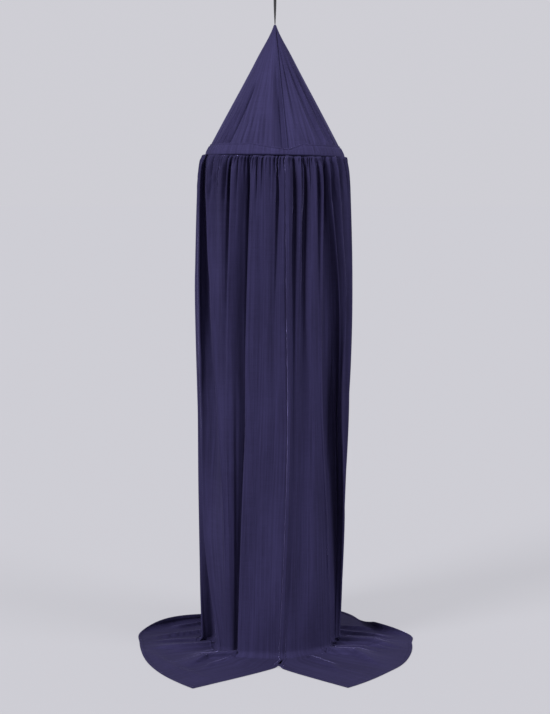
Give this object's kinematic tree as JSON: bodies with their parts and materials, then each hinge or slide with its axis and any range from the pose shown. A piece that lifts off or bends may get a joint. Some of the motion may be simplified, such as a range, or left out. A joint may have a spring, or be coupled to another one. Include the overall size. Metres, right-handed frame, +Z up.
{
  "type": "bed canopy with hoop",
  "caption": "Cloth bed canopy hung from a tape loop: a pointed cone spread by a hoop, with a gathered skirt open at the front and fanned out on the floor.",
  "frame": {"origin": "inside the crown of the tape's eye, where it rests on the ceiling hook", "axes": "+Z up along the hanging line, the open front of the skirt faces -Y, +X to the right as seen from the front"},
  "size_m": [1.0023, 0.9758, 2.3512],
  "materials": {
    "black_tape": "narrow woven tape, matte",
    "indigo_cotton": "light plain-woven cotton, matte with a faint sheen",
    "casing_cotton": "the same cotton, doubled and stitched",
    "hoop_plastic": "plain off-white rod"
  },
  "bodies": {
    "root": {"hanging_loop": "black_tape", "cone": "indigo_cotton", "hoop_casing": "casing_cotton", "hoop": "hoop_plastic", "skirt": "indigo_cotton"}
  },
  "joints": []
}
